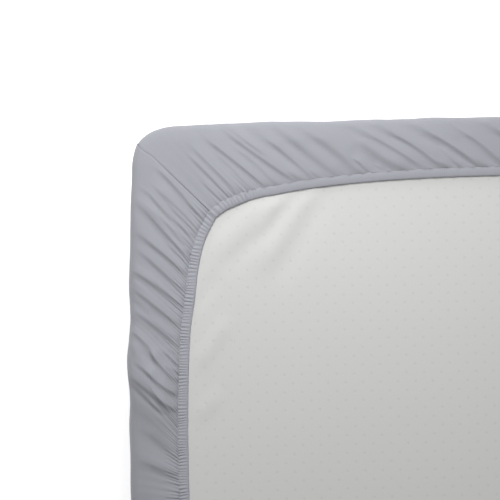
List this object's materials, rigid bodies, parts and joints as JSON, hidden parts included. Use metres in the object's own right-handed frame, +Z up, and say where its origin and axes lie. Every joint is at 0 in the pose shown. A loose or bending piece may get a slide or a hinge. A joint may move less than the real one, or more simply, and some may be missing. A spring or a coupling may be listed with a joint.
{
  "type": "fitted sheet on a mattress",
  "caption": "Grey fitted sheet with an elasticated gathered hem, stretched over a plain mattress that lies underside up.",
  "frame": {"origin": "middle of the resting face, on the surface that the sheet's top panel lies on", "axes": "+X along the mattress, +Y across it, +Z up towards the tucked-under hem"},
  "size_m": [2.0132, 0.9134, 0.191],
  "materials": {
    "sheet_cotton": "fine matt cotton, cool light grey",
    "ticking": "off-white quilt-dotted mattress ticking"
  },
  "bodies": {
    "root": {"fitted_sheet": "sheet_cotton", "mattress": "ticking"}
  },
  "joints": []
}
